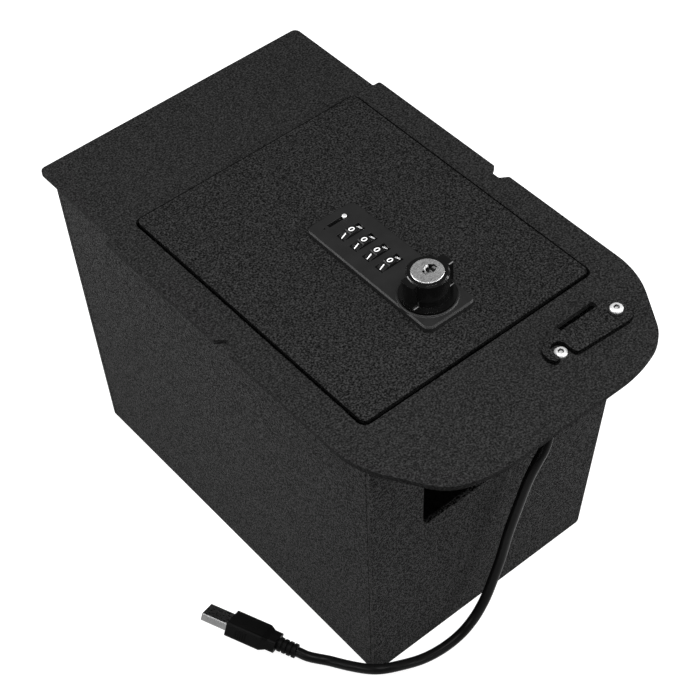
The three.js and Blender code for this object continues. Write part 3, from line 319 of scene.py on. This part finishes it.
def ribbed_mat():
    n = Nodes("ribbed_rubber_mat")
    ribs = n.add("ShaderNodeTexWave", Scale=120, Distortion=0.0)
    n.join(n.position(), ribs.inputs["Vector"])
    color = n.ramp(n.noise(500, 4), (0.3, 0.012), (0.7, 0.03))
    grain = n.bump(n.noise(2200, 3), 0.0001, 0.5)
    return n.finish(color, 0.85, n.bump(ribs.outputs["Fac"], 0.0004, 0.7, grain))


coat = powder_coat("wrinkle_powder_coat", 0.0005, 0.0135, 0.044, spread=0.1, upright=1.0)
# The plates and the flange: painted shade on their upright faces, so that their edges come out darker
# than their tops
plate_coat_shaded_edges = powder_coat("wrinkle_powder_coat_plates_shaded_edges", 0.002, 0.012, 0.032, spread=0.15, upright=0.25)
flange_coat_shaded_edges = powder_coat("wrinkle_powder_coat_flange_shaded_edges", 0.0045, 0.0135, 0.03, spread=0.16, upright=0.6)
casting = satin_casting()
gloss = gloss_black()
disc = brushed_disc()
stainless = bright_metal("stainless_steel", 0.85, 0.36, 0.44, 0.65)
zinc = bright_metal("zinc_plate", 0.45, 0.3, 0.45)
shell_steel = bright_metal("plated_plug_shell", 0.22, 0.24, 0.34)
dial_black = moulded("dial_black", 0.006, 0.35)
black_plastic = moulded("black_plastic", 0.012, 0.5)
nylon = moulded("black_nylon", 0.008, 0.42)
pad_rubber = moulded("pad_rubber", 0.018, 0.85, 900, 0.00008)
jacket = moulded("cable_jacket", 0.004, 0.32, 1400, 0.00002, 0.05)
mould = moulded("plug_overmould", 0.003, 0.42, 1600, 0.00005, 0.03)
# White paint: the print on the dials, and the painted highlight on the keyway's bore
white_ink_and_highlight = paint("white_ink_and_painted_highlight", 0.72, 0.86)
worn_ink = paint("worn_white_ink", 0.1, 0.17)
# Near-black paint for the keyway's liner: painted shade
keyway_shade = paint("keyway_painted_shade", 0.002, 0.004)
# Grey paint for the screws' socket walls: painted shade
socket_painted_shade = paint("socket_painted_shade", 0.03, 0.05)
mat = ribbed_mat()

DIALS = [f"number_dial_{i}" for i in (1, 2, 3, 4)]
PADS = [f"lid_pad_{side}_{end}" for side in ("left", "right") for end in ("front", "rear")]
LEDGES = ["lid_ledge_left", "lid_ledge_right"]
ARMS = ["hinge_arm_left", "hinge_arm_right"]
BRACKETS = ["hinge_bracket_left", "hinge_bracket_right", "strike_bracket"]
GUARD_SCREWS = ["guard_pivot_screw", "guard_catch_screw"]

finishes = {
    plate_coat_shaded_edges: ["lid_plate", "cord_guard"],
    flange_coat_shaded_edges: ["flange_plate"],
    coat: ["body_shell", "front_panel", "rear_panel", *LEDGES, *ARMS, *BRACKETS],
    casting: ["lock_face", "lock_case"],
    gloss: ["knob"],
    disc: ["key_plug"],
    stainless: [*GUARD_SCREWS, "code_change_pin"],
    zinc: ["guard_pivot_nut", "guard_catch_nut", "hinge_rod", "hinge_clip_left", "hinge_clip_right",
           "dial_shaft", "lock_clamp_front", "lock_clamp_rear", "clamp_screw_front",
           "clamp_screw_rear", "cam", "cam_washer", "cam_bolt"],
    shell_steel: ["plug_shell"],
    dial_black: DIALS,
    black_plastic: ["usb_socket", "plug_tongue"],
    nylon: ["guard_washer"],
    pad_rubber: PADS,
    mould: ["plug_overmold"],
    mat: ["floor_mat"],
}
for material, names in finishes.items():
    for name in names:
        data = nodes[name].data
        data.materials.clear()
        data.materials.append(material)
lead.data.materials.append(jacket)

# Edges that a coat or a finish breaks, each with its width
SHEET_EDGE = 0.25
THICK_EDGE = 0.3
KNOB_EDGE = 0.35
DIAL_EDGE = 0.2
PLUG_EDGE = 0.25
SHARP_ANGLE = 35


def soften(names, width, segments=2):
    for name in names:
        weld = nodes[name].modifiers.new("weld", "WELD")
        weld.merge_threshold = 1e-6
        bevel = nodes[name].modifiers.new("bevel", "BEVEL")
        bevel.width = width * MM
        bevel.segments = segments
        bevel.limit_method = "ANGLE"
        bevel.angle_limit = math.radians(SHARP_ANGLE)
        bevel.harden_normals = True
        bevel.use_clamp_overlap = True


soften(["flange_plate", "lid_plate", "cord_guard", "front_panel", "rear_panel", "body_shell"], SHEET_EDGE)
soften([*BRACKETS, *ARMS, *LEDGES, "cam"], THICK_EDGE)
soften(["lock_face"], THICK_EDGE, 3)
soften(["knob"], KNOB_EDGE, 3)
soften(DIALS, DIAL_EDGE)
soften(["plug_shell", "plug_overmold", "usb_socket"], PLUG_EDGE)


# Pieces that only the scene has
def piece(name, bm, material, body):
    """A mesh of one material that moves with a CAD body."""
    data = bpy.data.meshes.new(name)
    bm.normal_update()
    bm.to_mesh(data)
    bm.free()
    data.materials.append(material)
    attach(link(name, data), body)


def thicken(bm, thickness=0.05):
    """Closes a sheet of faces into a thin solid."""
    bmesh.ops.solidify(bm, geom=bm.faces[:], thickness=thickness * MM)


def add_bar(bm, start, end, width, bottom, top):
    """A straight bar between two points."""
    start, end = Vector((*start, 0)), Vector((*end, 0))
    along = (end - start).normalized()
    across = Vector((-along.y, along.x, 0)) * width / 2
    low = [bm.verts.new(((p + side) + Vector((0, 0, bottom))) * MM)
           for p, side in ((start, across), (start, -across), (end, -across), (end, across))]
    high = [bm.verts.new(v.co + Vector((0, 0, (top - bottom) * MM))) for v in low]
    bm.faces.new(low)
    bm.faces.new(high[::-1])
    for i in range(4):
        bm.faces.new((low[i], high[i], high[(i + 1) % 4], low[(i + 1) % 4]))


def bars(name, items, material, body):
    bm = bmesh.new()
    for item in items:
        add_bar(bm, *item)
    bmesh.ops.recalc_face_normals(bm, faces=bm.faces)
    piece(name, bm, material, body)


# Numbers on the dials
LOCK_X = 1.8
DIAL_Z = 177.7
FIRST_DIAL_Y = 4.0
DIAL_PITCH = 9.6
DIAL_REST = 3.5    # degrees that the zeros stand past the top
DIGITS = 10
DIGIT_REACH = 8.4968    # from the dial's axis to the paint
DIGIT_HEIGHT = 3.5
DIGIT_WIDTH = 1.2    # against the font's own proportions
DIGIT_EMBOLDEN = 0.02
DIGIT_DEPTH = 0.02
FONT_SIZE_PER_HEIGHT = 1.38


def digit_mesh(text):
    curve = bpy.data.curves.new("digit", "FONT")
    curve.body = text
    curve.size = DIGIT_HEIGHT * FONT_SIZE_PER_HEIGHT
    curve.offset = DIGIT_EMBOLDEN
    curve.align_x = "CENTER"
    curve.resolution_u = 3
    curve.extrude = DIGIT_DEPTH
    made = link("digit", curve)
    bpy.context.view_layer.update()
    evaluated = made.evaluated_get(bpy.context.evaluated_depsgraph_get())
    mesh = bpy.data.meshes.new_from_object(evaluated)
    bpy.data.objects.remove(made)
    return mesh


def dial_numbers(dial_y):
    """The digits round one dial. A text's x runs along the dial's axis and its y round the rim."""
    bm = bmesh.new()
    for digit in range(DIGITS):
        mesh = digit_mesh(str(digit))
        heights = [v.co.y for v in mesh.vertices]
        centred = Matrix.Translation((0, -(min(heights) + max(heights)) / 2, 0))
        widened = Matrix.Diagonal((DIGIT_WIDTH, 1, 1, 1))
        along_axis = Matrix.Rotation(math.radians(-90), 4, "Z")
        out_to_rim = Matrix.Translation((0, 0, DIGIT_REACH))
        round_rim = Matrix.Rotation(math.radians(DIAL_REST - 360 / DIGITS * digit), 4, "Y")
        at_dial = Matrix.Translation((LOCK_X, dial_y, DIAL_Z))
        to_metres = Matrix.Diagonal((MM, MM, MM, 1))
        mesh.transform(to_metres @ at_dial @ round_rim @ out_to_rim @ along_axis @ widened @ centred)
        bm.from_mesh(mesh)
        bpy.data.meshes.remove(mesh)
    return bm


for i, dial in enumerate(DIALS):
    piece(f"dial_{i + 1}_numbers", dial_numbers(FIRST_DIAL_Y - DIAL_PITCH * i), white_ink_and_highlight, dial)

# White marks on a lug of the knob and on its skirt: both ends and the surface that each lies on
LUG_TOP = 199.9
SKIRT_TOP = 186.1
MARK_WIDTH = 0.6
MARK_HEIGHT = 0.06
MARK_SEAT = 0.02
MARKS = [((12.3, -56.1), (15.0, -56.0), LUG_TOP), ((-10.8, -57.2), (-7.2, -57.1), SKIRT_TOP),
         ((12.0, -57.1), (14.9, -56.6), SKIRT_TOP)]
bars("knob_marks", [(start, end, MARK_WIDTH, z - MARK_SEAT, z + MARK_HEIGHT) for start, end, z in MARKS],
     worn_ink, "knob")

# Keyway of the key plug: a slot through a round bore, placed from the disc's centre, and lined with a
# near-black sheet that paints the shade inside it
DISC_AT = Vector((LOCK_X, -52.8))
DISC_TOP = 200.6
SLOT_ENDS = (-2.5, 5.1)
SLOT_HALF_WIDTH = 1.4
BORE_AT = Vector((1.7, 0.25))
BORE_RADIUS = 2.9
BORE_STEPS = 12
LINER_GAP = 0.03
LINER_DROP = 0.15
KEYWAY_SEEN_DEPTH = 2.6


def bore_arc(radius, start, stop, steps):
    """Points round the bore's centre, from one angle to another."""
    angles = [start + (stop - start) * k / steps for k in range(steps + 1)]
    return [BORE_AT + radius * Vector((math.cos(t), math.sin(t))) for t in angles]


def keyway_outline():
    """The keyway's outline, drawn in by the liner's gap."""
    left, right = SLOT_ENDS[0] + LINER_GAP, SLOT_ENDS[1] - LINER_GAP
    half, radius = SLOT_HALF_WIDTH - LINER_GAP, BORE_RADIUS - LINER_GAP
    shape = []
    for first, last, y, side in ((left, right, -half, -1), (right, left, half, 1)):
        rise = y - BORE_AT.y
        run = math.sqrt(radius ** 2 - rise ** 2) * side
        arc = bore_arc(radius, math.atan2(rise, run), math.atan2(rise, -run), BORE_STEPS)
        shape += [Vector((first, y)), *arc, Vector((last, y))]
    return shape


def disc_verts(bm, outline, drop):
    """Points placed from the disc's centre, at a drop below its top."""
    return [bm.verts.new(Vector((*(DISC_AT + at), DISC_TOP - drop)) * MM) for at in outline]


# The liner: a near-black sheet down the keyway, painted shade
bm = bmesh.new()
brim = disc_verts(bm, keyway_outline(), LINER_DROP)
sunk = disc_verts(bm, keyway_outline(), KEYWAY_SEEN_DEPTH)
bm.faces.new(sunk)
for i in range(len(brim)):
    j = (i + 1) % len(brim)
    bm.faces.new((brim[i], sunk[i], sunk[j], brim[j]))
bmesh.ops.recalc_face_normals(bm, faces=bm.faces)
thicken(bm)
piece("keyway_shade_liner", bm, keyway_shade, "key_plug")

# Each wafer: its run along the keyway, its run across, and how deep its top lies
WAFERS = [(-1.9, -0.5, -0.9, 0.5, 0.5), (0.4, 1.0, -2.2, -0.5, 0.9), (1.4, 2.0, -2.4, 0.4, 1.1),
          (3.4, 4.8, -1.0, 0.9, 0.7)]
bars("keyway_wafers",
     [(DISC_AT + Vector((x0, (y0 + y1) / 2)), DISC_AT + Vector((x1, (y0 + y1) / 2)), y1 - y0,
       DISC_TOP - KEYWAY_SEEN_DEPTH, DISC_TOP - depth) for x0, x1, y0, y1, depth in WAFERS],
     zinc, "key_plug")

# The bore's far edge, as a white band that paints its highlight: its run round the bore, then how far in
# and how far down its two sides lie
CRESCENT_ENDS = (math.radians(70), math.radians(185))
CRESCENT_STEPS = 10
CRESCENT_SIDES = ((0.05, 0.1), (0.75, 1.0))

bm = bmesh.new()
outer, inner = (disc_verts(bm, bore_arc(BORE_RADIUS - inset, *CRESCENT_ENDS, CRESCENT_STEPS), drop)
                for inset, drop in CRESCENT_SIDES)
for k in range(CRESCENT_STEPS):
    bm.faces.new((outer[k], outer[k + 1], inner[k + 1], inner[k]))
thicken(bm)
piece("keyway_crescent_highlight", bm, white_ink_and_highlight, "key_plug")

# Hexagon sockets of the guard's screws: a grey band on their walls, painted shade that makes them darker
# than the heads
SOCKET_RADII = (1.68, 1.1)
SOCKET_DROP = 0.55    # below the head's top
for name in GUARD_SCREWS:
    box = [nodes[name].matrix_world @ Vector(corner) for corner in nodes[name].bound_box]
    low = Vector(min(v[k] for v in box) for k in range(3))
    high = Vector(max(v[k] for v in box) for k in range(3))
    centre = Vector(((low.x + high.x) / 2, (low.y + high.y) / 2, high.z - SOCKET_DROP * MM))
    angles = [math.radians(60 * k) for k in range(6)]
    bm = bmesh.new()
    rim, well = (
        [bm.verts.new(centre + radius * MM * Vector((math.cos(t), math.sin(t), 0))) for t in angles]
        for radius in SOCKET_RADII)
    for k in range(6):
        bm.faces.new((rim[k], rim[(k + 1) % 6], well[(k + 1) % 6], well[k]))
    thicken(bm)
    piece(f"{name}_socket", bm, socket_painted_shade, "safe")

# Studio: a pale floor, a soft sky and three soft lamps, in metres and watts
FLOOR_HALF = 3
FLOOR_GLOW = 0.85
SKY = 0.14
AIM = Vector((0, 0, 0.1))
# Each lamp: its place, width, height and power. The low two stand for the light that a large white
# ground throws back at the walls.
LAMPS = {
    "key": ((-0.05, -0.3, 1.25), 0.7, 0.7, 19.5),
    "left": ((-0.5, 0.2, 0.4), 0.9, 0.14, 3.8),
    "front": ((0.5, -0.62, 0.34), 0.9, 0.14, 6.6),
}


def seen_share(n, value):
    """The value where the surface is seen, straight or in a reflection, and 0 where it gives light."""
    rays = n.add("ShaderNodeLightPath")
    total = rays.outputs["Is Camera Ray"]
    for other in ("Is Glossy Ray", "Is Transmission Ray"):
        most = n.add("ShaderNodeMath", operation="MAXIMUM")
        n.join(total, most.inputs[0])
        n.join(rays.outputs[other], most.inputs[1])
        total = most.outputs[0]
    scaled = n.add("ShaderNodeMath", operation="MULTIPLY")
    scaled.inputs[1].default_value = value
    n.join(total, scaled.inputs[0])
    return scaled.outputs[0]


def white_paper():
    n = Nodes("white_paper")
    n.finish(0.4, 0.9, Specular_IOR_Level=0.1)
    glow = n.add("ShaderNodeEmission")
    n.join(seen_share(n, FLOOR_GLOW), glow.inputs["Strength"])
    both = n.add("ShaderNodeAddShader")
    n.join(n.shader.outputs[0], both.inputs[0])
    n.join(glow.outputs[0], both.inputs[1])
    n.join(both.outputs[0], n.tree.nodes["Material Output"].inputs["Surface"])
    return n.material


floor_data = bpy.data.meshes.new("floor")
floor_data.from_pydata(
    [(x * FLOOR_HALF, y * FLOOR_HALF, 0) for x, y in ((-1, -1), (1, -1), (1, 1), (-1, 1))],
    [], [(0, 1, 2, 3)])
floor = link("floor", floor_data)
floor.data.materials.append(white_paper())

world = bpy.data.worlds.new("studio")
scene.world = world
world.use_nodes = True
background = world.node_tree.nodes["Background"]
background.inputs["Color"].default_value = grey(1)
background.inputs["Strength"].default_value = SKY

for name, (at, width, height, power) in LAMPS.items():
    data = bpy.data.lights.new(name, "AREA")
    data.shape = "RECTANGLE"
    data.size = width
    data.size_y = height
    data.energy = power
    lamp = link(name, data)
    lamp.location = at
    lamp.rotation_euler = (AIM - Vector(at)).to_track_quat("-Z", "Y").to_euler()

scene.view_settings.view_transform = "Standard"
